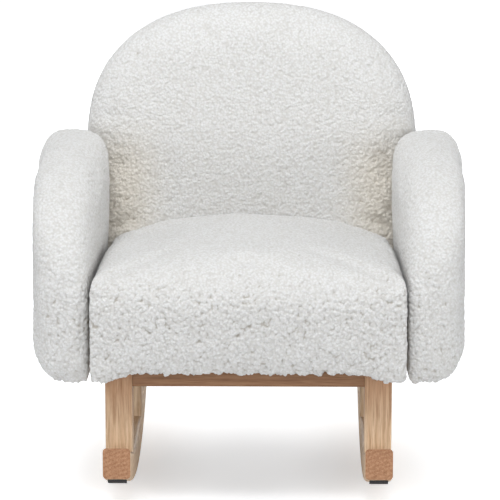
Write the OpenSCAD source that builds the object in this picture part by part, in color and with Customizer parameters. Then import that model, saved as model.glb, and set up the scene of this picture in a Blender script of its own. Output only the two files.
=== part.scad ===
// Child's upholstered rocking chair: a padded seat, back and two arms on a beech base with curved runners.
// X is across the chair, Y runs from its front to its back, Z is up, in millimetres.

/* [Runners and legs] */
// Radius of the curved underside of a runner
runner_r = 600; // [450:10:900]
// Width of a runner
runner_w = 30; // [26:1:40]
// Height of a runner's section
runner_h = 32; // [28:1:40]
// Length of a runner ahead of the line it rests on
runner_front = 227; // [205:1:260]
// Length of a runner behind the line it rests on
runner_rear = 238; // [220:1:290]
// Rounding along a runner's long edges
runner_round = 4; // [1:0.5:7]
// Length of the sanded flat on which a runner comes to rest
rest_flat = 24; // [8:2:40]
// From the front face of the front legs back to the rest line
rest_set = 172; // [150:1:190]
// From the side of the seat's front in to the outer face of a leg
leg_inset = 16.5; // [15:0.5:22]
// Side of a square leg
leg_s = 30; // [26:1:36]
// Rounding along a leg's long edges
leg_round = 2.5; // [0.5:0.5:5]
// From the front face of a front leg to the front face of a rear leg
leg_pitch = 222; // [190:1:230]

/* [Base rails] */
// Height of the base's top face above the floor
base_top = 160; // [145:1:180]
// Height of a base rail
rail_h = 28; // [24:1:36]
// Thickness of a base rail
rail_t = 22; // [18:1:26]
// Rounding along a base rail's long edges
rail_round = 2; // [0.5:0.5:4]

/* [Seat] */
// Width of the seat at its front, between the arms
seat_w = 348; // [336:1:360]
// Angle by which each arm turns in towards the back
toe_in = 2.6; // [0:0.2:4]
// Overhang of the seat's frame ahead of the front legs
seat_overhang = 4; // [0:1:8]
// Height of a seat frame rail
seat_rail_h = 45; // [40:1:55]
// Thickness of a seat frame rail
seat_rail_t = 18; // [16:1:20]
// Thickness of the seat board
seat_board_t = 9; // [6:1:12]
// Height of the cushion above the seat board, at its sides
cushion_h = 42; // [36:1:60]
// Rise of the cushion's crown at its middle
cushion_crown = 17; // [0:1:26]
// Radius of the roll at the cushion's front edge
cushion_roll = 40; // [25:1:40]
// Thickness of the padding in front of the seat frame
apron_t = 24; // [20:1:30]
// Height of the cover's lower front edge above the floor
apron_low = 153; // [146:1:158]
// How much lower the cover hangs at the front corners
corner_dip = 9; // [0:1:12]

/* [Back] */
// Width of the back
back_w = 384; // [370:1:400]
// Length of the back from its lower edge to its top
back_l = 359; // [340:1:400]
// Length of the straight sides of the back
back_side = 200; // [180:1:220]
// Thickness of the back with its padding
back_t = 79; // [77:1:100]
// Angle by which the back leans
back_lean = 11; // [6:0.5:14]
// From the front face of the front legs to the foot of the back's front face
back_set = 223; // [215:1:232]
// Thickness of the front foam in the back
back_foam_t = 36; // [30:1:38]
// Thickness of the back board
back_board_t = 6; // [4:1:7]
// Thickness of a back post
post_t = 18; // [14:1:18]
// Width of a back post
post_w = 40; // [30:1:60]
// From a side rail of the seat frame in to the middle of a back post
post_inset = 22.5; // [19:0.5:40]

/* [Arms] */
// Thickness of an arm at its front
arm_t = 62; // [58:1:74]
// How much an arm widens outwards towards the rear, in degrees
arm_spread = 2.4; // [0:0.2:4]
// Height of the top of an arm above the floor
arm_top = 372; // [355:1:390]
// Height of the lower edge of an arm above the floor
arm_low = 138; // [134:1:150]
// How far an arm reaches ahead of the front legs
arm_front = 22; // [10:1:28]
// Height at which an arm's front starts to curve back
arm_spring = 215; // [190:1:240]
// Length of the level top of an arm, ahead of the back
arm_level = 60; // [40:1:90]
// Thickness of an arm board
arm_board_t = 9; // [6:1:12]
// Padding over the edges of the arm boards
arm_rim = 24; // [18:1:30]

/* [Covers and fixings] */
// Thickness of the pile cover
cover_t = 5; // [4:0.5:6]
// Thickness of the cloth under the seat
dust_t = 0.6; // [0.4:0.1:1]
// Radius of a bolt's shank
bolt_r = 3; // [2.5:0.5:3.5]
// Radius of a wooden dowel
dowel_r = 3; // [2.5:0.5:3.5]
// Length of a dowel on each side of its joint
dowel_in = 11; // [8:1:11]
// Radius of a wood screw
screw_r = 1.75; // [1.5:0.25:2.25]
// Thickness of a rubber tip pad
pad_t = 3; // [2:0.5:5]
// Side of a square rubber tip pad
pad_s = 20; // [14:1:24]

/* [Hidden] */
$fn = 48;

// Clearances: a glue line, a fixing in its hole, and a soft face beside its neighbour
glue = 0.1;
fit = 0.1;
soft_gap = 0.3;
over = 1;
big = 900;

// Fixings
head_r = 5.5;
head_t = 4;
washer_r = 8;
washer_t = 1.5;
nut_r = 4.5;
nut_barrel = 8;
flange_r = 8;
flange_t = 1.5;
insert_l = 16;
screw_head_r = 3.5;
screw_head_t = 2.5;
foot_bolt_l = 50;
insert_set = 10;
dowel_edge = 5;
bolt_spare = 4;
washer_gap = 0.5;
block_h = 30;
block_s = 44;
block_w = 40;
base_bolt_in = 15;

// Width across the outer faces of the legs
leg_track = seat_w - 2 * leg_inset;
// Places along Y: the runners' tips are as far from the origin in front as behind
rest_y = (runner_front - runner_rear) / 2;
leg_face_y = rest_y - rest_set;
arc_z = sqrt(runner_r * runner_r - rest_flat * rest_flat / 4);
runner_top_r = runner_r - runner_h;
leg_x = (leg_track - leg_s) / 2;
leg_ys = [leg_face_y + leg_s / 2, leg_face_y + leg_pitch + leg_s / 2];
runner_x = (leg_track - runner_w) / 2;
rail_low = base_top - rail_h;
frame_low = base_top + dust_t;
frame_top = frame_low + seat_rail_h;
board_top = frame_top + seat_board_t;
frame_y = leg_face_y - seat_overhang;
seat_face_y = frame_y - apron_t;
back_y = leg_face_y + back_set;
bolt_hole_r = bolt_r + fit;

// Places across the base's side rails and of the bolts up through them
side_rail_x = leg_track / 2 - leg_s + rail_t / 2;
base_bolt_x = leg_track / 2 - leg_s + washer_r + washer_gap;
// The back's lower front edge clears the rear legs' tops
back_low = base_top + soft_gap + (leg_face_y + leg_pitch + leg_s - back_y) * tan(back_lean);

// Half the width between the arms at a given Y
function half_w(y) = seat_w / 2 - (y - seat_face_y) * tan(toe_in);
// Y of the back's front face at a height
function back_face_y(z) = back_y + (z - back_low) * tan(back_lean);
// Height of a runner's underside and of its top face at a given Y
function under_z(y) = arc_z - sqrt(runner_r * runner_r - pow(y - rest_y, 2));
function top_z(y) = arc_z - sqrt(runner_top_r * runner_top_r - pow(y - rest_y, 2));
function smooth(a, b, t) = let (s = min(1, max(0, (t - a) / (b - a)))) s * s * (3 - 2 * s);

// A rectangle with round corners, from plain squares and circles
module round_rect(w, h, r) {
    square([w - 2 * r, h], center = true);
    square([w, h - 2 * r], center = true);
    for (x = [-1, 1], y = [-1, 1])
        translate([x * (w / 2 - r), y * (h / 2 - r)]) circle(r);
}

// A closed skin through rings of points, each ring as many points as the next
// Its ends are closed by fans of triangles from two hubs that see the whole of their ring
module skin(rings, hubs) {
    n = len(rings[0]);
    m = len(rings);
    points = concat([for (ring = rings) for (p = ring) p], hubs);
    sides = [for (i = [0 : m - 2], j = [0 : n - 1]) let (
        a = i * n + j, b = i * n + (j + 1) % n, c = a + n, d = b + n) each [[a, b, c], [b, d, c]]];
    ends = [for (j = [0 : n - 1]) let (k = (j + 1) % n, last = (m - 1) * n)
        each [[k, j, m * n], [last + j, last + k, m * n + 1]]];
    polyhedron(points, concat(sides, ends));
}

// A skin with a wall: outer and inner rings, both left open along the last gap points of each ring
module hollow_skin(outer, outer_hubs, inner, inner_hubs, gap) {
    n = len(outer[0]);
    m = len(outer);
    size = m * n + 2;
    points = concat([for (ring = outer) for (p = ring) p], outer_hubs,
        [for (ring = inner) for (p = ring) p], inner_hubs);
    sides = [for (i = [0 : m - 2], j = [0 : n - 1 - gap]) let (
        a = i * n + j, b = i * n + (j + 1) % n, c = a + n, d = b + n) each [[a, b, c], [b, d, c]]];
    last = (m - 1) * n;
    ends = [for (j = [0 : n - 1]) let (k = (j + 1) % n)
        each [[k, j, m * n], [last + j, last + k, m * n + 1]]];
    walls = concat(sides, ends);
    side_rims = [for (i = [0 : m - 2], j = [n - gap, n]) let (
        a = i * n + j % n, c = a + n, e = a + size, g = c + size)
        each j < n ? [[a, e, c], [e, g, c]] : [[a, c, e], [c, g, e]]];
    end_rims = [for (j = [n - gap : n - 1]) let (k = (j + 1) % n) each [
        [j, k, j + size], [k, k + size, j + size],
        [last + j, last + j + size, last + k], [last + k, last + j + size, last + k + size]]];
    polyhedron(points, concat(walls, [for (f = walls) [f[0] + size, f[2] + size, f[1] + size]],
        side_rims, end_rims));
}

// Base of beech

module runner(side) {
    x = side * runner_x;
    color("burlywood") difference() {
        intersection() {
            translate([x, rest_y, arc_z]) rotate([0, 90, 0]) rotate_extrude($fn = 96)
                translate([runner_r - runner_h / 2, 0]) round_rect(runner_h, runner_w, runner_round);
            translate([x - runner_w, rest_y - runner_front, -over])
                cube([2 * runner_w, runner_front + runner_rear, runner_r / 2]);
        }
        translate([x - runner_w, -big / 2, -big]) cube([2 * runner_w, big, big]);
        for (y = leg_ys) {
            translate([side * leg_x, y, -over]) cylinder(r = bolt_hole_r, h = runner_r / 2);
            translate([side * leg_x, y, -over]) cylinder(r = head_r + fit, h = head_z(y) + over);
        }
        leg_dowel_set(side, fit);
        for (end = [-1, 1]) tip_pad(side, end);
    }
}

// Height at which a leg bolt's head bears inside its counterbore
function head_z(y) = under_z(y) + runner_h / 3;

module leg(side, i) {
    x = side * leg_x;
    y = leg_ys[i];
    color("burlywood") difference() {
        intersection() {
            translate([x, y, 0]) linear_extrude(base_top) round_rect(leg_s, leg_s, leg_round);
            translate([x, rest_y, arc_z]) rotate([0, 90, 0])
                cylinder(r = runner_top_r - glue, h = 2 * leg_s, center = true, $fn = 96);
        }
        translate([x, y, 0]) cylinder(r = bolt_hole_r, h = head_z(y) + foot_bolt_l + bolt_spare);
        translate([x, y, 0]) cylinder(r = nut_r + fit, h = insert_low(y) + insert_l + fit);
        leg_dowel_set(side, fit);
        rail_dowel_set(side, fit);
    }
}

// Lower end of the threaded insert, a little above a leg's foot
function insert_low(y) = top_z(y) + insert_set;

module leg_dowel_set(side, gap) {
    for (y = leg_ys, s = [-1, 1]) {
        yy = y + s * (leg_s / 2 - dowel_edge);
        translate([side * leg_x, yy, top_z(yy) - dowel_in - gap])
            cylinder(r = dowel_r + gap / 2, h = 2 * dowel_in + 2 * gap);
    }
}

module leg_bolts() {
    color("silver") for (s = [-1, 1], y = leg_ys) translate([s * leg_x, y, head_z(y)]) {
        translate([0, 0, -head_t]) cylinder(r = head_r, h = head_t);
        cylinder(r = bolt_r, h = foot_bolt_l);
    }
}

module leg_insert_nuts() {
    color("goldenrod") for (s = [-1, 1], y = leg_ys)
        translate([s * leg_x, y, insert_low(y)]) difference() {
            cylinder(r = nut_r, h = insert_l);
            translate([0, 0, -over]) cylinder(r = bolt_r + fit / 2, h = insert_l + 2 * over);
        }
}

module cross_rail(i) {
    w = leg_track - 2 * leg_s - 2 * glue;
    color("burlywood") difference() {
        translate([0, leg_ys[i], base_top - rail_h / 2]) rotate([90, 0, 90])
            linear_extrude(w, center = true) round_rect(rail_t, rail_h, rail_round);
        for (s = [-1, 1]) rail_dowel_set(s, fit);
    }
}

module side_rail(side) {
    l = leg_pitch - leg_s - 2 * glue;
    color("burlywood") difference() {
        translate([side * side_rail_x, (leg_ys[0] + leg_ys[1]) / 2, base_top - rail_h / 2])
            rotate([90, 0, 0]) linear_extrude(l, center = true)
                round_rect(rail_t, rail_h, rail_round);
        rail_dowel_set(side, fit);
        for (y = base_bolt_ys) translate([side * base_bolt_x, y, rail_low - over])
            cylinder(r = bolt_hole_r, h = rail_h + 2 * over);
    }
}

// Two dowels at each end of a cross rail, one at each end of a side rail
module rail_dowel_set(side, gap) {
    inner_x = leg_track / 2 - leg_s;
    for (y = leg_ys, z = [-1, 1])
        translate([side * inner_x, y, base_top - rail_h / 2 + z * rail_h / 4]) rotate([0, 90, 0])
            cylinder(r = dowel_r + gap / 2, h = 2 * dowel_in + 2 * gap, center = true);
    for (y = [leg_ys[0] + leg_s / 2, leg_ys[1] - leg_s / 2])
        translate([side * side_rail_x, y, base_top - rail_h / 2]) rotate([90, 0, 0])
            cylinder(r = dowel_r + gap / 2, h = 2 * dowel_in + 2 * gap, center = true);
}

module leg_dowels() { color("tan") for (s = [-1, 1]) leg_dowel_set(s, 0); }
module rail_dowels() { color("tan") for (s = [-1, 1]) rail_dowel_set(s, 0); }

// Rubber pads under the tips, let into the runners by a hair so that they sit flat on the curve
pad_set = 4;
module tip_pad(side, end) {
    reach = end < 0 ? runner_front : runner_rear;
    y = rest_y + end * (reach - pad_set - pad_s / 2);
    slope = asin((y - rest_y) / runner_r);
    translate([side * runner_x, y, under_z(y)]) rotate([slope, 0, 0])
        translate([-pad_s / 2, -pad_s / 2, -pad_t]) cube([pad_s, pad_s, pad_t + 0.15]);
}
module tip_pads(end) { color("dimgray") for (s = [-1, 1]) tip_pad(s, end); }

// Bolts that hold the base to the seat frame, up through the side rails
base_bolt_ys = [leg_ys[0] + leg_s / 2 + base_bolt_in, leg_ys[1] - leg_s / 2 - base_bolt_in];
base_bolt_l = washer_t + rail_h + dust_t + block_h - bolt_spare / 2;
module each_base_bolt() {
    for (s = [-1, 1], y = base_bolt_ys) translate([s * base_bolt_x, y, rail_low]) children();
}
module base_bolts() {
    color("silver") each_base_bolt() translate([0, 0, -washer_t]) {
        translate([0, 0, -head_t]) cylinder(r = head_r, h = head_t);
        cylinder(r = bolt_r, h = base_bolt_l);
    }
}
module washer() {
    difference() {
        cylinder(r = washer_r, h = washer_t);
        translate([0, 0, -over]) cylinder(r = bolt_hole_r, h = washer_t + 2 * over);
    }
}
// A tee nut with its flange at z = 0 and its barrel below
module tee_nut() {
    difference() {
        union() {
            cylinder(r = flange_r, h = flange_t);
            translate([0, 0, -nut_barrel]) cylinder(r = nut_r, h = nut_barrel + flange_t);
        }
        translate([0, 0, -nut_barrel - over])
            cylinder(r = bolt_r + fit / 2, h = nut_barrel + flange_t + 2 * over);
    }
}
module base_washers() { color("silver") each_base_bolt() translate([0, 0, -washer_t]) washer(); }
module base_tee_nuts() {
    color("silver") each_base_bolt() translate([0, 0, rail_h + dust_t + block_h]) tee_nut();
}

// Seat frame

// Everything between the two arms' inner faces, cut in by a distance, from one Y to another
module seat_plan(cut, y0, y1) {
    polygon([[-half_w(y0) + cut, y0], [half_w(y0) - cut, y0],
        [half_w(y1) - cut, y1], [-half_w(y1) + cut, y1]]);
}
// The back's own frame: X across, Y through its thickness, Z up along its lean
module in_back() { translate([0, back_y, back_low]) rotate([-back_lean, 0, 0]) children(); }
// Depth in the back of the faces of the back board and the posts
board_v = cover_t + back_foam_t;
post_v = board_v + back_board_t;
post_back_v = post_v + post_t;
// All that lies behind a depth in the back
module behind(v) { in_back() translate([-big / 2, v, -big / 2]) cube([big, big, big]); }
frame_back_y = back_face_y(frame_low) + board_v;
post_x = half_w(frame_back_y) - soft_gap - seat_rail_t - post_inset;
// Height in the back of a share of the seat frame's height, at a depth into its rear rail
function rail_w(share, depth) = (frame_low + share * seat_rail_h - back_low
    + (board_v - seat_rail_t + depth) * sin(back_lean)) / cos(back_lean);

module seat_front_rail() {
    color("wheat") difference() {
        translate([0, 0, frame_low]) linear_extrude(seat_rail_h)
            seat_plan(soft_gap, frame_y, frame_y + seat_rail_t);
        frame_screw_set(fit);
        seat_board_screw_set(fit);
    }
}
module seat_rear_rail() {
    color("wheat") difference() {
        intersection() {
            translate([0, 0, frame_low]) linear_extrude(seat_rail_h)
                seat_plan(soft_gap, back_y, frame_back_y + seat_rail_t);
            in_back() translate([-big / 2, board_v - seat_rail_t, -big / 2])
                cube([big, seat_rail_t, big]);
        }
        frame_screw_set(fit);
        back_bolt_set(bolt_hole_r, big);
        seat_board_screw_set(fit);
    }
}
module seat_side_rail(side) {
    y0 = frame_y + seat_rail_t;
    y1 = frame_back_y;
    color("wheat") difference() {
        translate([0, 0, frame_low]) linear_extrude(seat_rail_h) polygon([
            [side * (half_w(y0) - soft_gap), y0], [side * (half_w(y1) - soft_gap), y1],
            [side * (half_w(y1) - soft_gap - seat_rail_t), y1],
            [side * (half_w(y0) - soft_gap - seat_rail_t), y0]]);
        behind(board_v - seat_rail_t);
        frame_screw_set(fit);
        arm_bolt_set(bolt_hole_r);
        seat_board_screw_set(fit);
    }
}
module seat_corner_blocks() {
    ys = [base_bolt_ys[0] - block_s / 2, base_bolt_ys[1] - block_s / 2];
    color("wheat") difference() {
        translate([0, 0, frame_low]) linear_extrude(block_h) for (s = [-1, 1], y = ys)
            polygon([[s * (half_w(y) - soft_gap - seat_rail_t), y],
                [s * (half_w(y + block_s) - soft_gap - seat_rail_t), y + block_s],
                [s * (base_bolt_x - block_w / 2), y + block_s], [s * (base_bolt_x - block_w / 2), y]]);
        behind(board_v - seat_rail_t);
        each_base_bolt() translate([0, 0, -over]) cylinder(r = bolt_hole_r, h = big);
        each_base_bolt() translate([0, 0, rail_h + dust_t + block_h - nut_barrel - fit])
            cylinder(r = nut_r + fit, h = nut_barrel + over);
    }
}

// Screws through the front and rear seat rails into the ends of the side rails
frame_screw_l = 55;
module wood_screw(l, gap) {
    translate([0, 0, -gap]) cylinder(r = screw_head_r + gap / 2, h = screw_head_t + gap);
    cylinder(r = screw_r + gap / 2, h = l + gap);
}
module frame_screw_set(gap) {
    front_x = half_w(frame_y + seat_rail_t) - soft_gap - seat_rail_t / 2;
    rear_x = half_w(frame_back_y - frame_screw_l / 2) - soft_gap - seat_rail_t / 2;
    for (s = [-1, 1]) {
        for (share = [0.27, 0.73])
            translate([s * front_x, frame_y, frame_low + share * seat_rail_h])
                rotate([-90, 0, s * toe_in]) wood_screw(frame_screw_l, gap);
        for (share = [0.25, 0.6])
            in_back() translate([s * rear_x, board_v, rail_w(share, seat_rail_t)])
                rotate([90, 0, 0]) wood_screw(frame_screw_l, gap);
    }
}
module seat_frame_screws() { color("silver") frame_screw_set(0); }

module seat_board() {
    color("tan") difference() {
        translate([0, 0, frame_top]) linear_extrude(seat_board_t)
            seat_plan(soft_gap, frame_y, frame_back_y + seat_rail_t);
        behind(board_v);
        seat_board_screw_set(fit);
    }
}
// Screws down through the seat board into the front, side and rear rails
board_screw_l = 30;
module seat_board_screw_set(gap) {
    y_front = frame_y + seat_rail_t / 2;
    y_mid = (leg_ys[0] + leg_ys[1]) / 2;
    y_rear = back_face_y(frame_top) + board_v - seat_rail_t / 2;
    x_mid = half_w(y_mid) - soft_gap - seat_rail_t / 2;
    for (p = [[-110, y_front], [110, y_front], [-x_mid, y_mid], [x_mid, y_mid],
            [-60, y_rear], [60, y_rear]])
        translate([p[0], p[1], board_top]) rotate([180, 0, 0]) wood_screw(board_screw_l, gap);
}
module seat_board_screws() { color("silver") seat_board_screw_set(0); }

// Black cloth between the seat frame and the base
module dust_cover() {
    color("dimgray") difference() {
        translate([0, 0, base_top]) linear_extrude(dust_t)
            seat_plan(soft_gap + 3, frame_y + 3, frame_back_y - seat_rail_t / 2);
        each_base_bolt() cylinder(r = bolt_hole_r + 1, h = big);
    }
}

// Seat cushion: one profile from front to back, repeated across the seat
// Rounding of the lower front edge, bulge of the faces, and rounding at the back and along the sides
hem = 10;
bulge = 3;
tuck = 14;
side_tuck = 15;

// Profile points [y, z] for a place k across the seat (-1 to 1), cut in by e all round
// The rolled top edges are cut in by s as well, and the front by half of it
function seat_profile(k, e, s) = let (
    front = seat_face_y + e + s / 2,
    rim = min(hem, (frame_y - soft_gap - front) / 2),
    low = apron_low - corner_dip * smooth(0.55, 0.8, abs(k)) + (e > 0 ? e : 0),
    top = board_top + cushion_h + cushion_crown * (1 - k * k) - e - s,
    roll = cushion_roll - e / 2,
    back = function (z) back_face_y(z) - soft_gap - e,
    y_top = back(top) - tuck
) concat(
    [[frame_y - soft_gap, low]],
    [[front + rim, low], [front + rim * 0.3, low + hem * 0.3], [front - bulge * 0.3, low + hem * 1.4]],
    [[front - bulge, (low + top - roll) / 2]],
    [for (a = [0 : 15 : 90])
        [front + roll * (1 - pow(cos(a), 0.9)), top - roll * (1 - pow(sin(a), 0.9))]],
    [for (t = [0.2, 0.45, 0.7]) [front + roll + (y_top - front - roll) * t, top + bulge * sin(180 * t)]],
    [[y_top, top - tuck * 0.07], [back(top - tuck * 0.43) - tuck * 0.21, top - tuck * 0.43],
        [back(top - tuck), top - tuck]],
    [[back(board_top), board_top], [frame_y - soft_gap, board_top]]);

// Places across the seat, and how far the rolled edges draw in there
seat_ks = [for (q = [[-1, 1], [-0.985, 0.47], [-0.95, 0.13], [-0.88, 0], [-0.75, 0], [-0.6, 0],
    [-0.3, 0], [0, 0], [0.3, 0], [0.6, 0], [0.75, 0], [0.88, 0], [0.95, 0.13], [0.985, 0.47], [1, 1]])
    [q[0], q[1] * side_tuck]];
function seat_rings(e) = [for (q = seat_ks) [for (p = seat_profile(q[0], e, q[1]))
    [q[0] * (half_w(p[0]) - soft_gap - e), p[0], p[1]]]];
function seat_hubs(e) = let (y = frame_y - 4 * soft_gap, z = board_top + cushion_h / 12)
    [for (s = [-1, 1]) [s * (half_w(y) - soft_gap - e), y, z]];
module seat_foam() {
    e = cover_t + soft_gap;
    color("lightyellow") skin(seat_rings(e), seat_hubs(e));
}
// The cover is open underneath, where it is stapled to the frame
module seat_cover() {
    color("white") hollow_skin(seat_rings(0), seat_hubs(0), seat_rings(cover_t), seat_hubs(cover_t), 2);
}

// Back

// Outline of the back, cut in by e: a straight lower edge, straight sides and a round top
arch_n = 2.35;
function arch(e, low) = let (
    a = back_w / 2 - e, b = back_l - back_side - e
) concat(
    [for (t = [-0.66, -0.33, 0, 0.33, 0.66]) [t * a, low]],
    [for (t = [0.03, 0.35, 0.7]) [a, low + (back_side - low) * t]],
    [for (i = [0 : 9 : 180]) [a * sign(cos(i)) * pow(abs(cos(i)), 2 / arch_n),
        back_side + b * pow(sin(i), 2 / arch_n)]],
    [for (t = [0.7, 0.35, 0.03]) [-a, low + (back_side - low) * t]]);
// Rounding through the back's thickness: how far each ring is cut in, and its depth as a share
back_edge = 100;
back_rings = [for (q = [[1, 0], [0.6, 0.012], [0.34, 0.045], [0.18, 0.1], [0.07, 0.2], [0.015, 0.34],
    [0, 0.5], [0.015, 0.68], [0.06, 0.83], [0.14, 0.93], [0.3, 1]]) [q[0] * back_edge, q[1]]];
module back_pad(e) {
    in_back() skin([for (q = back_rings)
        [for (p = arch(e + q[0], e + q[0])) [p[0], e + q[1] * (back_t - 2 * e), p[1]]]],
        [[0, e, back_side], [0, back_t - e, back_side]]);
}
// Room for the seat's rear rail and board, in front of the back board
module seat_notch(gap) {
    difference() {
        translate([0, 0, -over]) linear_extrude(board_top + gap + over)
            seat_plan(-gap, frame_y, frame_back_y + back_t);
        behind(board_v);
    }
}
edge_foam = 12;
core_cut = cover_t + edge_foam;
back_board_cut = core_cut + soft_gap;
board_low = cover_t + 4;
// Room for the board and the posts, right through to the rear
module back_core() {
    in_back() translate([0, back_t, 0]) rotate([90, 0, 0])
        linear_extrude(back_t - board_v + soft_gap) polygon(arch(core_cut, board_low - soft_gap));
}

module back_board() {
    color("tan") difference() {
        in_back() translate([0, post_v, 0]) rotate([90, 0, 0]) linear_extrude(back_board_t)
            polygon(arch(back_board_cut, board_low));
        back_bolt_set(bolt_hole_r, big);
    }
}
post_l = back_side + 60;
module back_post(side) {
    color("wheat") difference() {
        in_back() translate([side * post_x - post_w / 2, post_v, board_low])
            cube([post_w, post_t, post_l]);
        back_bolt_set(bolt_hole_r, big);
        back_nut_set(fit);
    }
}
module back_top_rail() {
    w = 2 * post_x - post_w;
    color("wheat") in_back() translate([-w / 2, post_v, board_low + post_l - post_w])
        cube([w, post_t, post_w]);
}
module back_foam() {
    color("lightyellow") difference() {
        back_pad(cover_t + soft_gap);
        back_core();
        behind(post_back_v);
        seat_notch(soft_gap);
    }
}
module back_wadding() {
    color("white") intersection() {
        back_pad(cover_t + soft_gap);
        behind(post_back_v + soft_gap);
    }
}
module back_cover() {
    color("white") difference() {
        back_pad(0);
        back_pad(cover_t);
        seat_notch(soft_gap);
    }
}

// Bolts from inside the seat frame through its rear rail, the back board and the posts
back_bolt_l = washer_t + seat_rail_t + back_board_t + post_t - bolt_spare;
module each_back_bolt() {
    z = rail_w(0.65, seat_rail_t / 2);
    for (s = [-1, 1], t = [-1, 1])
        in_back() translate([s * post_x + t * post_w / 4, board_v - seat_rail_t, z])
            rotate([-90, 0, 0]) children();
}
module back_bolt_set(r, l) { each_back_bolt() translate([0, 0, -l / 2]) cylinder(r = r, h = l); }
module back_bolts() {
    color("silver") each_back_bolt() translate([0, 0, -washer_t]) {
        translate([0, 0, -head_t]) cylinder(r = head_r, h = head_t);
        cylinder(r = bolt_r, h = back_bolt_l);
    }
}
module back_washers() { color("silver") each_back_bolt() translate([0, 0, -washer_t]) washer(); }
// The tee nuts are let into the posts' rear faces
module back_nut_set(gap) {
    each_back_bolt() translate([0, 0, seat_rail_t + back_board_t + post_t]) {
        translate([0, 0, -flange_t - gap]) cylinder(r = flange_r + gap, h = flange_t + over);
        translate([0, 0, -flange_t - nut_barrel - gap]) cylinder(r = nut_r + gap, h = nut_barrel + over);
    }
}
module back_tee_nuts() {
    color("silver") each_back_bolt() translate([0, 0, seat_rail_t + back_board_t + post_t - flange_t])
        tee_nut();
}

// Arms

arm_n = 2.7;
arm_face_y = leg_face_y - arm_front;
arm_inner = soft_gap;
// Outline of an arm [y, z], cut in by e, and by r at its straight rear edge
function arm_outline(e, r) = let (
    front = arm_face_y + e, low = arm_low + e * 0.6, top = arm_top - e,
    foot = 22, heel = 8,
    rear = function (z) back_face_y(z) - soft_gap - r,
    y_top = back_face_y(arm_top) - arm_level - r / 3,
    a = y_top - front, b = top - arm_spring,
    heel_in = function (i) heel * (1 - sin(i)),
    heel_up = function (i) heel * (1 - cos(i))
) concat(
    [for (t = [0, 0.33, 0.66]) [rear(low) - heel + (front + foot + heel - rear(low)) * t, low]],
    [for (i = [0 : 30 : 90]) [front + foot * (1 - sin(i)), low + foot * (1 - cos(i))]],
    [for (i = [0 : 9 : 90])
        [y_top - a * pow(cos(i), 2 / arm_n), arm_spring + b * pow(sin(i), 2 / arm_n)]],
    [[(y_top + rear(top)) / 2, top - 0.5]],
    [for (i = [0 : 30 : 90]) [rear(top - heel_up(i)) - heel_in(i), top - heel_up(i)]],
    [for (t = [0.33, 0.66]) [rear(top + (low - top) * t), top + (low - top) * t]],
    [for (i = [90 : -30 : 30]) [rear(low + heel_up(i)) - heel_in(i), low + heel_up(i)]]);
// Rounding through an arm's thickness: how far each ring is cut in, its depth as a share,
// and how far it is cut in at the rear
arm_edge = 46;
arm_cuts = [for (q = [[1, 0, 0.2], [0.565, 0.02, 0.09], [0.304, 0.08, 0.033], [0.109, 0.22, 0.011],
    [0, 0.5, 0], [0.109, 0.78, 0.109], [0.304, 0.92, 0.304], [0.565, 0.98, 0.565], [1, 1, 1]])
    [q[0] * arm_edge, q[1], q[2] * arm_edge]];
function arm_wide(y) = arm_t + (y - arm_face_y) * tan(arm_spread);
function arm_rings(e) = [for (q = arm_cuts) [for (p = arm_outline(e + q[0], e + q[2]))
    [half_w(p[0]) + arm_inner + e + q[1] * (arm_wide(p[0]) - 2 * e), p[0], p[1]]]];
function arm_hubs(e) = let (y = (leg_ys[0] + leg_ys[1]) / 2)
    [for (x = [e, arm_wide(y) - e]) [half_w(y) + arm_inner + x, y, arm_spring]];
// An arm's own frame: X outwards from its inner face, turned in with the arm
module in_arm(side) {
    mirror([side < 0 ? 1 : 0, 0, 0]) translate([half_w(arm_face_y) + arm_inner, arm_face_y, 0])
        rotate([0, 0, toe_in]) translate([0, -arm_face_y, 0]) children();
}
arm_side_foam = 8;
inner_board_x = cover_t + arm_side_foam;
outer_board_x = arm_t - cover_t - arm_side_foam - arm_board_t;
module arm_plate(side, x, t, cut) {
    in_arm(side) translate([x, 0, 0]) rotate([90, 0, 90]) linear_extrude(t) polygon(arm_outline(cut, cut));
}
module arm_inner_board(side) {
    color("tan") difference() {
        arm_plate(side, inner_board_x, arm_board_t, arm_rim + soft_gap);
        arm_bolt_set(bolt_hole_r);
        arm_nut_set(fit);
    }
}
module arm_outer_board(side) { color("tan") arm_plate(side, outer_board_x, arm_board_t, arm_rim + soft_gap); }
// Blocks that hold the two boards apart: one up the front, one up the rear, one along
spacer_s = 28;
spacer_ys = [arm_face_y + arm_rim + 16, back_face_y(arm_low) - arm_rim - spacer_s];
module arm_spacers(side) {
    x0 = inner_board_x + arm_board_t;
    t = outer_board_x - x0;
    y0 = spacer_ys[0];
    y1 = spacer_ys[1];
    z0 = arm_low + arm_rim + 4;
    color("wheat") in_arm(side) {
        translate([x0, y0, z0]) cube([t, spacer_s, arm_spring - z0 + 50]);
        translate([x0, y1, z0]) cube([t, spacer_s, arm_top - z0 - 2 * arm_rim]);
        translate([x0, y0 + spacer_s, frame_top]) cube([t, y1 - y0 - spacer_s, spacer_s]);
    }
}
module arm_foam(side) {
    color("lightyellow") difference() {
        mirror([side < 0 ? 1 : 0, 0, 0]) skin(arm_rings(cover_t + soft_gap), arm_hubs(cover_t + soft_gap));
        arm_plate(side, inner_board_x - soft_gap, arm_t - 2 * inner_board_x + 2 * soft_gap, arm_rim);
        arm_bolt_set(bolt_hole_r + 1);
    }
}
module arm_cover(side) {
    color("white") difference() {
        mirror([side < 0 ? 1 : 0, 0, 0])
            skin(arm_rings(0), arm_hubs(0));
        mirror([side < 0 ? 1 : 0, 0, 0]) skin(arm_rings(cover_t), arm_hubs(cover_t));
        arm_bolt_set(bolt_hole_r + 1);
    }
}

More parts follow.
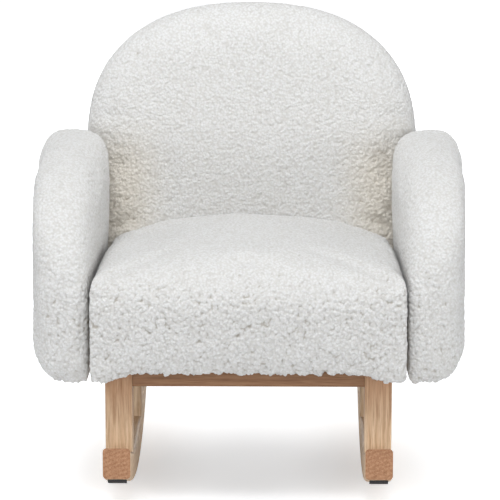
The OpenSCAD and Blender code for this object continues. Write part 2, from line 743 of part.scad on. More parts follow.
// Bolts from inside the seat frame through its side rails into the arms' inner boards
arm_bolt_ys = [spacer_ys[0] + 2 * spacer_s + flange_r, spacer_ys[1] - flange_r - washer_r];
arm_bolt_z = frame_low + seat_rail_h / 2;
arm_bolt_l = washer_t + seat_rail_t + soft_gap + inner_board_x + arm_board_t - bolt_spare / 4;
module each_arm_bolt() {
    for (s = [-1, 1], y = arm_bolt_ys) mirror([s < 0 ? 1 : 0, 0, 0])
        translate([half_w(y) - soft_gap, y, arm_bolt_z]) rotate([0, 90, toe_in])
            translate([0, 0, -seat_rail_t * cos(toe_in)]) children();
}
module arm_bolt_set(r) {
    each_arm_bolt() translate([0, 0, -seat_rail_t])
        cylinder(r = r, h = 2 * seat_rail_t + inner_board_x + arm_board_t + washer_t);
}
module arm_bolts() {
    color("silver") each_arm_bolt() translate([0, 0, -washer_t]) {
        translate([0, 0, -head_t]) cylinder(r = head_r, h = head_t);
        cylinder(r = bolt_r, h = arm_bolt_l);
    }
}
module arm_washers() { color("silver") each_arm_bolt() translate([0, 0, -washer_t]) washer(); }
arm_nut_z = seat_rail_t + 2 * soft_gap + inner_board_x + arm_board_t;
module arm_nut_set(gap) {
    each_arm_bolt() translate([0, 0, arm_nut_z - nut_barrel - 2 * gap])
        cylinder(r = nut_r + gap, h = nut_barrel + 4 * over);
}
module arm_tee_nuts() { color("silver") each_arm_bolt() translate([0, 0, arm_nut_z]) tee_nut(); }

runner(-1);  // left_runner
runner(1);  // right_runner
leg(-1, 0);  // front_left_leg
leg(1, 0);  // front_right_leg
leg(-1, 1);  // rear_left_leg
leg(1, 1);  // rear_right_leg
cross_rail(0);  // front_rail
cross_rail(1);  // rear_rail
side_rail(-1);  // left_side_rail
side_rail(1);  // right_side_rail
tip_pads(-1);  // front_tip_pads
tip_pads(1);  // rear_tip_pads
leg_dowels();
leg_bolts();
leg_insert_nuts();
rail_dowels();
base_bolts();
base_washers();
base_tee_nuts();
seat_front_rail();
seat_rear_rail();
seat_side_rail(-1);  // seat_left_rail
seat_side_rail(1);  // seat_right_rail
seat_corner_blocks();
seat_frame_screws();
seat_board();
seat_board_screws();
seat_foam();
seat_cover();
dust_cover();
back_board();
back_post(-1);  // back_left_post
back_post(1);  // back_right_post
back_top_rail();
back_foam();
back_wadding();
back_cover();
back_bolts();
back_washers();
back_tee_nuts();
arm_inner_board(-1);  // left_arm_inner_board
arm_inner_board(1);  // right_arm_inner_board
arm_outer_board(-1);  // left_arm_outer_board
arm_outer_board(1);  // right_arm_outer_board
arm_spacers(-1);  // left_arm_spacers
arm_spacers(1);  // right_arm_spacers
arm_foam(-1);  // left_arm_foam
arm_foam(1);  // right_arm_foam
arm_cover(-1);  // left_arm_cover
arm_cover(1);  // right_arm_cover
arm_bolts();
arm_washers();
arm_tee_nuts();
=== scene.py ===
import math

import bpy
import numpy as np
from mathutils import Matrix, Vector


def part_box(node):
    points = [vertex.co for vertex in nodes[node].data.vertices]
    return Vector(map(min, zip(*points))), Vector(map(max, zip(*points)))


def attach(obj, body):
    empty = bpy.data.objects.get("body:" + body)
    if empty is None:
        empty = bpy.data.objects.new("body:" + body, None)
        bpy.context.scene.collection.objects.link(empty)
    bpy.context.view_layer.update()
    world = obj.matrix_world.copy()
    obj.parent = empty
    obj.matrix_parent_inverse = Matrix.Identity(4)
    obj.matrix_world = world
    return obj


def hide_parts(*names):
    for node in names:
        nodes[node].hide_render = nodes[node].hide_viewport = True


# A child's rocking armchair in off-white curly pile on a light beech base with curved runners
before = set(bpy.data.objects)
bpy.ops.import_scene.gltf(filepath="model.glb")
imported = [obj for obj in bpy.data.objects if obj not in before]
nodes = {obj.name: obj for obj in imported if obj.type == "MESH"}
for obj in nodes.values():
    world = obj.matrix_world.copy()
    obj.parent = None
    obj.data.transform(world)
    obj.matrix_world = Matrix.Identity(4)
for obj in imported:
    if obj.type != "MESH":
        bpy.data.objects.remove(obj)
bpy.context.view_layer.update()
scene = bpy.context.scene

# Camera: a long lens well in front of the chair, 1.1 m up and looking down by 13 degrees
lens_place = Vector((0.040, -3.5775, 1.100))
lens_aim = Vector((-0.0001, -0.0125, 0.2482))
lens_mm = 231.97
camera_data = bpy.data.cameras.new("camera")
camera_data.lens = lens_mm
camera_data.sensor_width = 36.0
camera_data.clip_end = 50.0
camera = bpy.data.objects.new("camera", camera_data)
scene.collection.objects.link(camera)
camera.location = lens_place
camera.rotation_euler = (lens_aim - lens_place).to_track_quat("-Z", "Y").to_euler()
scene.camera = camera
scene.view_settings.view_transform = "Standard"

# Floor: a wide matt white sweep that fades to pure white for the camera away from the chair
# The chair's shadow stays on it, and the dimmer glow near the chair, lower again towards and past the runners, is a
# painted shadow
near_floor = 0.05
far_floor = 0.27
near_glow = 0.45
far_glow = 0.86
runner_shade = 0.13
bpy.ops.object.select_all(action="DESELECT")
bpy.ops.mesh.primitive_plane_add(size=60.0, location=(0.0, 0.0, 0.0))
floor = bpy.context.object
floor.name = "floor"
paper = bpy.data.materials.new("white_paper")
paper.use_nodes = True
tree = paper.node_tree
tree.nodes.clear()
matt = tree.nodes.new("ShaderNodeBsdfDiffuse")
matt.inputs["Color"].default_value = (0.815, 0.83, 0.85, 1.0)
lift = tree.nodes.new("ShaderNodeEmission")
lift.inputs["Color"].default_value = (1.0, 1.0, 1.0, 1.0)
floor_place = tree.nodes.new("ShaderNodeTexCoord")
flatten = tree.nodes.new("ShaderNodeMapping")
flatten.inputs["Location"].default_value = (0.0, 0.05, 0.0)
flatten.inputs["Scale"].default_value = (1.0, 1.0, 0.0)
reach = tree.nodes.new("ShaderNodeVectorMath")
reach.operation = "LENGTH"
# Painted shadow: the camera glow is lower near the chair
fade = tree.nodes.new("ShaderNodeMapRange")
fade.interpolation_type = "SMOOTHSTEP"
fade.inputs["From Min"].default_value = near_floor
fade.inputs["From Max"].default_value = far_floor
fade.inputs["To Min"].default_value = near_glow
fade.inputs["To Max"].default_value = far_glow
floor_sides = tree.nodes.new("ShaderNodeSeparateXYZ")
side_reach = tree.nodes.new("ShaderNodeMath")
side_reach.operation = "ABSOLUTE"
# Painted shadow: the glow drops between the middle and the runners, and stays lower beyond them
painted_runner_shadow = tree.nodes.new("ShaderNodeMapRange")
painted_runner_shadow.interpolation_type = "SMOOTHSTEP"
painted_runner_shadow.inputs["From Min"].default_value = 0.040
painted_runner_shadow.inputs["From Max"].default_value = 0.125
painted_runner_shadow.inputs["To Max"].default_value = runner_shade
glow = tree.nodes.new("ShaderNodeMath")
glow.operation = "SUBTRACT"
path = tree.nodes.new("ShaderNodeLightPath")
level = tree.nodes.new("ShaderNodeMath")
level.operation = "MULTIPLY"
both = tree.nodes.new("ShaderNodeAddShader")
out = tree.nodes.new("ShaderNodeOutputMaterial")
tree.links.new(floor_place.outputs["Object"], flatten.inputs["Vector"])
tree.links.new(flatten.outputs["Vector"], reach.inputs[0])
tree.links.new(reach.outputs["Value"], fade.inputs["Value"])
tree.links.new(path.outputs["Is Camera Ray"], level.inputs[0])
tree.links.new(floor_place.outputs["Object"], floor_sides.inputs["Vector"])
tree.links.new(floor_sides.outputs["X"], side_reach.inputs[0])
tree.links.new(side_reach.outputs[0], painted_runner_shadow.inputs["Value"])
tree.links.new(fade.outputs["Result"], glow.inputs[0])
tree.links.new(painted_runner_shadow.outputs["Result"], glow.inputs[1])
tree.links.new(glow.outputs[0], level.inputs[1])
tree.links.new(level.outputs[0], lift.inputs["Strength"])
tree.links.new(matt.outputs[0], both.inputs[0])
tree.links.new(lift.outputs[0], both.inputs[1])
tree.links.new(both.outputs[0], out.inputs["Surface"])
floor.data.materials.append(paper)

# Backdrop and fill: an even pale surround, white to the camera and in reflections
world = bpy.data.worlds.new("studio")
scene.world = world
world.use_nodes = True
tree = world.node_tree
tree.nodes.clear()
seen = tree.nodes.new("ShaderNodeLightPath")
shown = tree.nodes.new("ShaderNodeMath")
shown.operation = "MAXIMUM"
fill = tree.nodes.new("ShaderNodeBackground")
fill.inputs["Color"].default_value = (0.985, 0.99, 1.0, 1.0)
fill.inputs["Strength"].default_value = 0.36
white = tree.nodes.new("ShaderNodeBackground")
white.inputs["Color"].default_value = (1.0, 1.0, 1.0, 1.0)
white.inputs["Strength"].default_value = 1.0
pick = tree.nodes.new("ShaderNodeMixShader")
out = tree.nodes.new("ShaderNodeOutputWorld")
tree.links.new(seen.outputs["Is Camera Ray"], shown.inputs[0])
tree.links.new(seen.outputs["Is Glossy Ray"], shown.inputs[1])
tree.links.new(shown.outputs[0], pick.inputs["Fac"])
tree.links.new(fill.outputs[0], pick.inputs[1])
tree.links.new(white.outputs[0], pick.inputs[2])
tree.links.new(pick.outputs[0], out.inputs["Surface"])


# Lamps: a broad soft box nearly overhead, a low one on each side and behind, and a warmer one in front
# The low ones reach under the chair, to the runners' inner faces
def soft_box(name, place, aim, size, watts, colour):
    data = bpy.data.lights.new(name, "AREA")
    data.shape = "RECTANGLE"
    data.size = size[0]
    data.size_y = size[1]
    data.energy = watts
    data.color = colour
    lamp = bpy.data.objects.new(name, data)
    scene.collection.objects.link(lamp)
    lamp.location = place
    lamp.rotation_euler = (Vector(aim) - Vector(place)).to_track_quat("-Z", "Y").to_euler()


soft_box("top_box", (-0.2, -0.7, 2.7), (0.0, 0.0, 0.2), (1.4, 1.4), 47.0, (0.955, 0.975, 1.0))
soft_box("left_box", (-2.3, -1.2, 0.6), (0.0, 0.0, 0.08), (1.2, 0.8), 11.0, (0.99, 0.995, 1.0))
soft_box("right_box", (2.3, -1.2, 0.6), (0.0, 0.0, 0.08), (1.2, 0.8), 14.0, (0.99, 0.995, 1.0))
soft_box("front_box", (0.0, -3.0, 0.9), (0.0, 0.0, 0.3), (1.6, 0.8), 20.0, (1.0, 0.985, 0.96))
soft_box("rear_box", (0.0, 2.8, 1.0), (0.0, 0.0, 0.2), (1.8, 1.0), 18.0, (1.0, 1.0, 1.0))

# Curly pile cloth: off-white polyester curls about 5 mm deep on a knitted back
# The curls' tips are clean white, and the hollows between them are painted warmer and darker as shade
pile = bpy.data.materials.new("curly_pile")
pile.use_nodes = True
tree = pile.node_tree
cloth = tree.nodes["Principled BSDF"]
cloth.inputs["Roughness"].default_value = 0.95
cloth.inputs["Specular IOR Level"].default_value = 0.12
cloth.inputs["Sheen Weight"].default_value = 0.22
cloth.inputs["Sheen Roughness"].default_value = 0.6
cloth.inputs["Sheen Tint"].default_value = (1.0, 0.99, 0.97, 1.0)
# Painted shade: the stored curl depth darkens and warms the hollows between the curls
painted_hollow_shade = tree.nodes.new("ShaderNodeAttribute")
painted_hollow_shade.attribute_name = "nap"
hollow_shade_ramp = tree.nodes.new("ShaderNodeValToRGB")
hollow_shade_ramp.color_ramp.elements[0].position = 0.0
hollow_shade_ramp.color_ramp.elements[0].color = (0.59, 0.56, 0.515, 1.0)
hollow_shade_ramp.color_ramp.elements[1].position = 0.65
hollow_shade_ramp.color_ramp.elements[1].color = (0.80, 0.80, 0.797, 1.0)
middle = hollow_shade_ramp.color_ramp.elements.new(0.25)
middle.color = (0.755, 0.752, 0.745, 1.0)
place = tree.nodes.new("ShaderNodeTexCoord")
patches = tree.nodes.new("ShaderNodeTexNoise")
patches.inputs["Scale"].default_value = 22.0
patches.inputs["Detail"].default_value = 3.0
patch_ramp = tree.nodes.new("ShaderNodeValToRGB")
patch_ramp.color_ramp.elements[0].position = 0.3
patch_ramp.color_ramp.elements[0].color = (0.985, 0.982, 0.976, 1.0)
patch_ramp.color_ramp.elements[1].position = 0.7
patch_ramp.color_ramp.elements[1].color = (1.0, 1.0, 1.0, 1.0)
tint = tree.nodes.new("ShaderNodeMix")
tint.data_type = "RGBA"
tint.blend_type = "MULTIPLY"
tint.inputs["Factor"].default_value = 1.0
nubs = tree.nodes.new("ShaderNodeTexVoronoi")
nubs.feature = "SMOOTH_F1"
nubs.inputs["Scale"].default_value = 360.0
nubs.inputs["Smoothness"].default_value = 0.25
# Painted shade: the colour darkens between the fine nubs, where the bump is low
nub_shade_ramp = tree.nodes.new("ShaderNodeValToRGB")
nub_shade_ramp.color_ramp.elements[0].position = 0.25
nub_shade_ramp.color_ramp.elements[0].color = (1.0, 1.0, 1.0, 1.0)
nub_shade_ramp.color_ramp.elements[1].position = 0.70
nub_shade_ramp.color_ramp.elements[1].color = (0.86, 0.845, 0.82, 1.0)
painted_nub_shade = tree.nodes.new("ShaderNodeMix")
painted_nub_shade.data_type = "RGBA"
painted_nub_shade.blend_type = "MULTIPLY"
painted_nub_shade.inputs["Factor"].default_value = 1.0
# Painted shade: a warm tan low on the back's corners beside the arms, where the arms shade it
corner_shade_share = tree.nodes.new("ShaderNodeAttribute")
corner_shade_share.attribute_name = "corner_shade"
corner_shade_ramp = tree.nodes.new("ShaderNodeValToRGB")
corner_shade_ramp.color_ramp.elements[0].color = (1.0, 1.0, 1.0, 1.0)
corner_shade_ramp.color_ramp.elements[1].color = (0.985, 0.935, 0.855, 1.0)
corner_shade_tint = tree.nodes.new("ShaderNodeMix")
corner_shade_tint.data_type = "RGBA"
corner_shade_tint.blend_type = "MULTIPLY"
corner_shade_tint.inputs["Factor"].default_value = 1.0
fibres = tree.nodes.new("ShaderNodeTexNoise")
fibres.inputs["Scale"].default_value = 900.0
fibres.inputs["Detail"].default_value = 4.0
fibres.inputs["Roughness"].default_value = 0.7
fibres.inputs["Distortion"].default_value = 1.2
strand_height = tree.nodes.new("ShaderNodeMath")
strand_height.operation = "SUBTRACT"
fuzz = tree.nodes.new("ShaderNodeBump")
fuzz.inputs["Strength"].default_value = 0.75
fuzz.inputs["Distance"].default_value = 0.0014
tree.links.new(painted_hollow_shade.outputs["Fac"], hollow_shade_ramp.inputs["Fac"])
tree.links.new(place.outputs["Object"], patches.inputs["Vector"])
tree.links.new(patches.outputs["Fac"], patch_ramp.inputs["Fac"])
tree.links.new(hollow_shade_ramp.outputs["Color"], tint.inputs["A"])
tree.links.new(patch_ramp.outputs["Color"], tint.inputs["B"])
tree.links.new(tint.outputs["Result"], painted_nub_shade.inputs["A"])
tree.links.new(nubs.outputs["Distance"], nub_shade_ramp.inputs["Fac"])
tree.links.new(nub_shade_ramp.outputs["Color"], painted_nub_shade.inputs["B"])
tree.links.new(painted_nub_shade.outputs["Result"], corner_shade_tint.inputs["A"])
tree.links.new(corner_shade_share.outputs["Fac"], corner_shade_ramp.inputs["Fac"])
tree.links.new(corner_shade_ramp.outputs["Color"], corner_shade_tint.inputs["B"])
tree.links.new(corner_shade_tint.outputs["Result"], cloth.inputs["Base Color"])
tree.links.new(place.outputs["Object"], fibres.inputs["Vector"])
tree.links.new(place.outputs["Object"], nubs.inputs["Vector"])
tree.links.new(fibres.outputs["Fac"], strand_height.inputs[0])
tree.links.new(nubs.outputs["Distance"], strand_height.inputs[1])
tree.links.new(strand_height.outputs[0], fuzz.inputs["Height"])
tree.links.new(fuzz.outputs["Normal"], cloth.inputs["Normal"])

# Seat: a foam block with a domed top and a rolled front, wrapped in the curly pile
# The pile hangs over the seat frame's front and is stapled out of sight underneath
seat_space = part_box("seat_cover")
board_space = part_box("seat_board")
front_y = seat_space[0][1] + 0.003
board_top_z = board_space[1][2]
frame_front_y = board_space[0][1]
seat_top_z = seat_space[1][2]
apron_low_z = seat_space[0][2]
seat_half_front = (seat_space[1][0] - seat_space[0][0]) / 2
back_lean = math.radians(11.0)
toe_in = math.radians(2.6)
seat_rear_y = 0.0555
skin_in = 0.0012
dome = 0.0165
corner_drop = 0.010
side_top_z = seat_top_z - dome
voxel = 0.0045
hollow_depth = -0.0014
tip_height = 0.0011


def select_only(piece):
    bpy.ops.object.select_all(action="DESELECT")
    piece.select_set(True)
    bpy.context.view_layer.objects.active = piece


def pick_faces(piece, test):
    bpy.ops.object.mode_set(mode="OBJECT")
    for face in piece.data.polygons:
        face.select = bool(test(face))
    for edge in piece.data.edges:
        edge.select = False
    for vertex in piece.data.vertices:
        vertex.select = False
    bpy.ops.object.mode_set(mode="EDIT")
    bpy.ops.mesh.select_mode(type="FACE")


def pick_edges(piece, test):
    bpy.ops.object.mode_set(mode="OBJECT")
    spots = [v.co.copy() for v in piece.data.vertices]
    for face in piece.data.polygons:
        face.select = False
    for vertex in piece.data.vertices:
        vertex.select = False
    for edge in piece.data.edges:
        a, b = spots[edge.vertices[0]], spots[edge.vertices[1]]
        edge.select = bool(test(a, b))
    bpy.ops.object.mode_set(mode="EDIT")
    bpy.ops.mesh.select_mode(type="EDGE")


def cut(piece, point, normal, clear_outer=False, clear_inner=False, fill=False):
    bpy.ops.object.mode_set(mode="EDIT")
    bpy.ops.mesh.select_all(action="SELECT")
    bpy.ops.mesh.bisect(
        plane_co=point, plane_no=normal, use_fill=fill, clear_inner=clear_inner, clear_outer=clear_outer
    )


def spots_of(piece):
    co = np.empty(len(piece.data.vertices) * 3)
    piece.data.vertices.foreach_get("co", co)
    return co.reshape(-1, 3)


def set_spots(piece, co):
    piece.data.vertices.foreach_set("co", np.ascontiguousarray(co, dtype=np.float64).ravel())
    piece.data.update()


def normals_of(piece):
    no = np.empty(len(piece.data.vertices) * 3)
    piece.data.vertices.foreach_get("normal", no)
    return no.reshape(-1, 3)


def ease(low, high, value):
    t = np.clip((value - low) / (high - low), 0.0, 1.0)
    return t * t * (3.0 - 2.0 * t)


def remesh(piece, size):
    select_only(piece)
    bpy.ops.object.modifier_add(type="REMESH")
    piece.modifiers[-1].mode = "VOXEL"
    piece.modifiers[-1].voxel_size = size
    bpy.ops.object.modifier_apply(modifier=piece.modifiers[-1].name)
    bpy.ops.object.modifier_add(type="SMOOTH")
    piece.modifiers[-1].factor = 0.5
    piece.modifiers[-1].iterations = 6
    bpy.ops.object.modifier_apply(modifier=piece.modifiers[-1].name)


def stuff(piece, held, most):
    """Blows the cover up over its filling, with held a 0 to 1 grip on each point, and most how far one may move."""
    before = spots_of(piece)
    grip = piece.vertex_groups.new(name="held")
    for i in np.nonzero(held > 0.01)[0]:
        grip.add([int(i)], float(held[i]), "REPLACE")
    select_only(piece)
    bpy.ops.object.modifier_add(type="CLOTH")
    cover = piece.modifiers[-1]
    cover.settings.quality = 5
    cover.settings.use_pressure = True
    cover.settings.uniform_pressure_force = 4.0
    cover.settings.tension_stiffness = 12.0
    cover.settings.compression_stiffness = 12.0
    cover.settings.bending_stiffness = 1.2
    cover.settings.vertex_group_mass = "held"
    cover.settings.effector_weights.gravity = 0.0
    cover.point_cache.frame_start = 1
    cover.point_cache.frame_end = 20
    for step in range(1, 21):
        scene.frame_set(step)
    bpy.ops.object.modifier_apply(modifier=cover.name)
    scene.frame_set(1)
    moved = spots_of(piece) - before
    reach = np.linalg.norm(moved, axis=1, keepdims=True)
    moved *= np.minimum(1.0, most / np.maximum(reach, 1e-9))
    set_spots(piece, before + moved)
    piece.vertex_groups.clear()


def displace(piece, name, kind, scale, strength, mid, direction, group, **settings):
    texture = bpy.data.textures.new(name, kind)
    texture.noise_scale = scale
    for key, value in settings.items():
        setattr(texture, key, value)
    select_only(piece)
    bpy.ops.object.modifier_add(type="DISPLACE")
    lay = piece.modifiers[-1]
    lay.texture = texture
    lay.texture_coords = "LOCAL"
    lay.direction = direction
    lay.strength = strength
    lay.mid_level = mid
    lay.vertex_group = group
    bpy.ops.object.modifier_apply(modifier=lay.name)


def raise_pile(piece, nap, hem, corner_shade_at=None):
    """Raises the curls by nap, a 0 to 1 share of their depth at each point, and hangs loose tufts where hem is 1.

    The last argument gives how much painted warm corner shade the cloth takes at each point, from 0 to 1.
    """
    select_only(piece)
    bpy.ops.object.modifier_add(type="SUBSURF")
    fine = piece.modifiers[-1]
    fine.levels = 2
    fine.render_levels = fine.levels
    for name, shares in (("nap_share", nap), ("hem_share", hem)):
        group = piece.vertex_groups.new(name=name)
        for i in np.nonzero(shares > 0.0)[0]:
            group.add([int(i)], float(shares[i]), "REPLACE")
    bpy.ops.object.modifier_apply(modifier=fine.name)
    plain = spots_of(piece)
    out = normals_of(piece)
    squared = {"distance_metric": "DISTANCE_SQUARED"}
    displace(piece, "tufts", "CLOUDS", 0.0075, 0.0100, 0.55, "Z", "hem_share", noise_depth=1)
    displace(piece, "clumps", "CLOUDS", 0.020, 0.0014, 0.5, "NORMAL", "nap_share", noise_depth=1)
    displace(piece, "curls", "VORONOI", 0.0037, -0.0034, 0.35, "NORMAL", "nap_share", **squared)
    displace(piece, "sway", "CLOUDS", 0.0060, 0.0008, 0.5, "RGB_TO_XYZ", "nap_share", cloud_type="COLOR")
    # The depth of each point is stored to paint shade into the hollows between the curls
    depth = np.einsum("ij,ij->i", spots_of(piece) - plain, out)
    shade = np.clip((depth - hollow_depth) / (tip_height - hollow_depth), 0.0, 1.0)
    store = piece.data.attributes.new("nap", "FLOAT", "POINT")
    store.data.foreach_set("value", shade.astype(np.float32))
    # Painted warm shade for the back's corners beside the arms
    corner = corner_shade_at(plain) if corner_shade_at else np.zeros(len(plain))
    store = piece.data.attributes.new("corner_shade", "FLOAT", "POINT")
    store.data.foreach_set("value", corner.astype(np.float32))
    piece.vertex_groups.clear()
    select_only(piece)
    bpy.ops.object.shade_smooth()
    piece.data.materials.clear()
    piece.data.materials.append(pile)


bpy.ops.object.select_all(action="DESELECT")
block_low = board_top_z + 0.0006
bpy.ops.mesh.primitive_cube_add(
    size=1.0, location=(0.0, (front_y + seat_rear_y) / 2 + skin_in / 2, (block_low + side_top_z) / 2 - skin_in / 2)
)
seat = bpy.context.object
seat.name = "seat_cushion"
seat.scale = (2 * (seat_half_front - skin_in), seat_rear_y - front_y - skin_in, side_top_z - block_low - skin_in)
bpy.ops.object.transform_apply(location=True, rotation=False, scale=True)
apron_back_y = frame_front_y - 0.0012
cut(seat, (0.0, apron_back_y, 0.0), (0.0, 1.0, 0.0))
pick_faces(seat, lambda f: f.normal.z < -0.9 and f.center.y < apron_back_y)
bpy.ops.mesh.extrude_region_move(TRANSFORM_OT_translate={"value": (0.0, 0.0, apron_low_z + 0.009 + skin_in - block_low)})
for side in (-1.0, 1.0):
    for share in (0.74, 0.86):
        cut(seat, (side * share * seat_half_front, 0.0, 0.0), (1.0, 0.0, 0.0))
pick_edges(
    seat,
    lambda a, b: max(a.z, b.z) < apron_low_z + 0.03 and min(abs(a.x), abs(b.x)) > 0.85 * seat_half_front,
)
bpy.ops.transform.translate(value=(0.0, 0.0, -0.009))
pick_edges(seat, lambda a, b: min(a.y, b.y) > seat_rear_y - 0.006)
top_lean = (side_top_z - block_low) * math.tan(back_lean)
bpy.ops.object.mode_set(mode="OBJECT")
co = spots_of(seat)
rear = co[:, 1] > seat_rear_y - 0.006
co[rear, 1] += (co[rear, 2] - block_low) / (side_top_z - block_low) * top_lean
taper = 1.0 - (co[:, 1] - front_y) * math.tan(toe_in) / seat_half_front
co[:, 0] *= taper
set_spots(seat, co)
roll = 0.036
pick_edges(seat, lambda a, b: min(a.z, b.z) > side_top_z - 0.006 and max(a.y, b.y) < front_y + 0.006)
bpy.ops.mesh.bevel(offset=roll, offset_type="OFFSET", segments=8, profile=0.5, affect="EDGES")
tuck = 0.013
pick_edges(
    seat,
    lambda a, b: min(a.z, b.z) > side_top_z - 0.006
    and (min(abs(a.x), abs(b.x)) > 0.9 * seat_half_front - 0.012 or min(a.y, b.y) > seat_rear_y - 0.003)
    and abs(a.x - b.x) + abs(a.y - b.y) > 0.004,
)
bpy.ops.mesh.bevel(offset=tuck, offset_type="OFFSET", segments=5, profile=0.5, affect="EDGES")
bpy.ops.object.mode_set(mode="OBJECT")
remesh(seat, voxel)
co = spots_of(seat)
half = seat_half_front - (co[:, 1] - front_y) * math.tan(toe_in)
across = np.clip(co[:, 0] / half, -1.0, 1.0)
on_top = ease(block_low + 0.008, side_top_z - 0.006, co[:, 2])
co[:, 2] += dome * (1.0 - across ** 2) * on_top
front_share = ease(0.06, 0.0, co[:, 1] - front_y) * ease(apron_low_z, apron_low_z + 0.05, co[:, 2])
co[:, 1] -= 0.003 * (1.0 - across ** 4) * front_share
rear_corner = ease(0.55, 1.0, np.abs(across)) * ease(0.110, 0.020, seat_rear_y - co[:, 1])
co[:, 2] -= corner_drop * rear_corner * on_top
set_spots(seat, co)
no = normals_of(seat)
resting = ((no[:, 2] < -0.5) & (co[:, 1] > apron_back_y - 0.003)) | (
    (co[:, 2] < block_low + 0.006) & (co[:, 1] > apron_back_y - 0.006)
)
beside = (np.abs(co[:, 0]) > half - 0.010) & (co[:, 2] < side_top_z - 0.012)
stuff(seat, np.where(resting, 1.0, np.where(beside, 0.8, 0.0)), 0.006)
co = spots_of(seat)
no = normals_of(seat)
hidden = (no[:, 2] < -0.3) & (co[:, 1] > apron_back_y - 0.004)
inner_apron = (co[:, 2] < block_low + 0.002) & (co[:, 1] > apron_back_y - 0.006)
nap = np.where(hidden | inner_apron, 0.0, 1.0 - 0.56 * ease(side_top_z - 0.02, side_top_z + 0.012, co[:, 2]))
hem = ease(apron_low_z + 0.024, apron_low_z + 0.010, co[:, 2]) * (nap > 0.0)
raise_pile(seat, nap, hem)
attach(seat, "root")
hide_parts("seat_cover", "seat_foam")

# Back: an arched board with foam in front and round its edge, wadding behind, and the same pile all over
# It leans back by 11 degrees, and its posts are bolted to the rear of the seat frame
back_width = 2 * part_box("back_cover")[1][0]
back_low_z = 0.16594
back_foot_y = 0.0455
back_thick = 0.079
back_length = 0.359
back_side = 0.200
back_roll = 0.030
arch_swell = 0.0018
arch_power = 2.35


def fill_out(piece, axes, middles, radii, power):
    """Pushes the corners of a piece's ellipse outwards, as a board that is fuller than an ellipse has them."""
    co = spots_of(piece)
    for axis, middle, radius in zip(axes, middles, radii):
        share = (co[:, axis] - middle) / radius
        co[:, axis] = middle + radius * np.sign(share) * np.abs(share) ** (2 / power)
    set_spots(piece, co)


def back_face_y(z):
    return back_foot_y + (z - back_low_z) * math.tan(back_lean)


bpy.ops.object.select_all(action="DESELECT")
bpy.ops.mesh.primitive_cylinder_add(
    vertices=96, radius=1.0, depth=1.0, location=(0.0, back_thick / 2, back_side), rotation=(math.pi / 2, 0.0, 0.0)
)
back = bpy.context.object
back.name = "back_cushion"
arch_radii = (back_width / 2 + arch_swell, back_length - back_side + arch_swell)
back.scale = (arch_radii[0], arch_radii[1], back_thick - 2 * skin_in)
bpy.ops.object.transform_apply(location=True, rotation=True, scale=True)
fill_out(back, (0, 2), (0.0, back_side), arch_radii, arch_power)
cut(back, (0.0, 0.0, back_side), (0.0, 0.0, 1.0), clear_inner=True, fill=True)
pick_faces(back, lambda f: f.normal.z < -0.9)
bpy.ops.mesh.extrude_region_move(TRANSFORM_OT_translate={"value": (0.0, 0.0, skin_in - back_side)})
pick_faces(back, lambda f: abs(f.normal.y) > 0.9)
bpy.ops.mesh.region_to_loop()
bpy.ops.mesh.bevel(offset=back_roll, offset_type="OFFSET", segments=8, profile=0.5, affect="EDGES")
bpy.ops.object.mode_set(mode="OBJECT")
remesh(back, voxel)
co = spots_of(back)
across = co[:, 0] / (back_width / 2)
upwards = np.maximum(co[:, 2] - back_side, 0.0) / (back_length - back_side)
swell = 1.0 - np.clip(np.hypot(across, upwards), 0.0, 1.0) ** 2.5
co[:, 1] += np.where(co[:, 1] < back_thick / 2, -0.004, 0.001) * swell
turn = np.array(Matrix.Rotation(-back_lean, 3, "X"))
co = co @ turn.T + np.array([0.0, back_foot_y, back_low_z])
set_spots(back, co)
face_y = back_face_y(co[:, 2])
behind_seat = (co[:, 2] < 0.245) & (co[:, 1] < face_y + 0.025)
under_back = co[:, 2] < back_low_z + 0.012
stuff(back, np.where(under_back | behind_seat, 1.0, 0.0), 0.006)
co = spots_of(back)
buried = ease(0.235, 0.205, co[:, 2]) * ease(0.030, 0.010, co[:, 1] - back_face_y(co[:, 2]))


def back_corner(co):
    return ease(0.085, 0.150, np.abs(co[:, 0])) * ease(0.390, 0.320, co[:, 2])


# Painted warm shade on the back's face, low in the corners beside the arms
def painted_corner_shade(co):
    return back_corner(co) * ease(0.034, 0.014, co[:, 1] - back_face_y(co[:, 2]))


curl_share = (1.0 - buried) * (0.44 + 0.30 * back_corner(co))
raise_pile(back, curl_share, ease(back_low_z + 0.012, back_low_z, co[:, 2]), painted_corner_shade)
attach(back, "root")
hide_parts("back_cover", "back_foam", "back_wadding")

# Arms: two boards held apart by spacers, padded all round, with a curved front and top edge
# They turn in towards the back and end against its face, bolted through their inner boards to the seat frame
arm_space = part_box("right_arm_cover")
arm_front_y = arm_space[0][1]
arm_low_z = arm_space[0][2]
arm_top_z = arm_space[1][2]
arm_thick = 0.061
arm_spread = math.radians(3.0)
arm_spring_z = 0.215
arm_level = 0.060
arm_power = 2.7
arm_inner_x = 0.1740 - (arm_front_y + 0.2055) * math.tan(toe_in) + 0.0003
arm_roll = 0.028
top_tighter = 0.40
arm_flare = 0.0025
seat_edge_roll = 0.010
foot_round = 0.022
heel_round = 0.009
arm_level_y = back_face_y(arm_top_z) - arm_level


def weigh_rim(piece, test, share_of):
    """Marks the rim of the faces that pass the test with each edge's share of the bevel's width."""
    pick_faces(piece, test)
    bpy.ops.mesh.region_to_loop()
    bpy.ops.object.mode_set(mode="OBJECT")
    if "bevel_weight_edge" not in piece.data.attributes:
        piece.data.attributes.new("bevel_weight_edge", "FLOAT", "EDGE")
    shares = piece.data.attributes["bevel_weight_edge"]
    spots = spots_of(piece)
    for edge in piece.data.edges:
        if edge.select:
            shares.data[edge.index].value = share_of(spots[list(edge.vertices)].mean(axis=0))


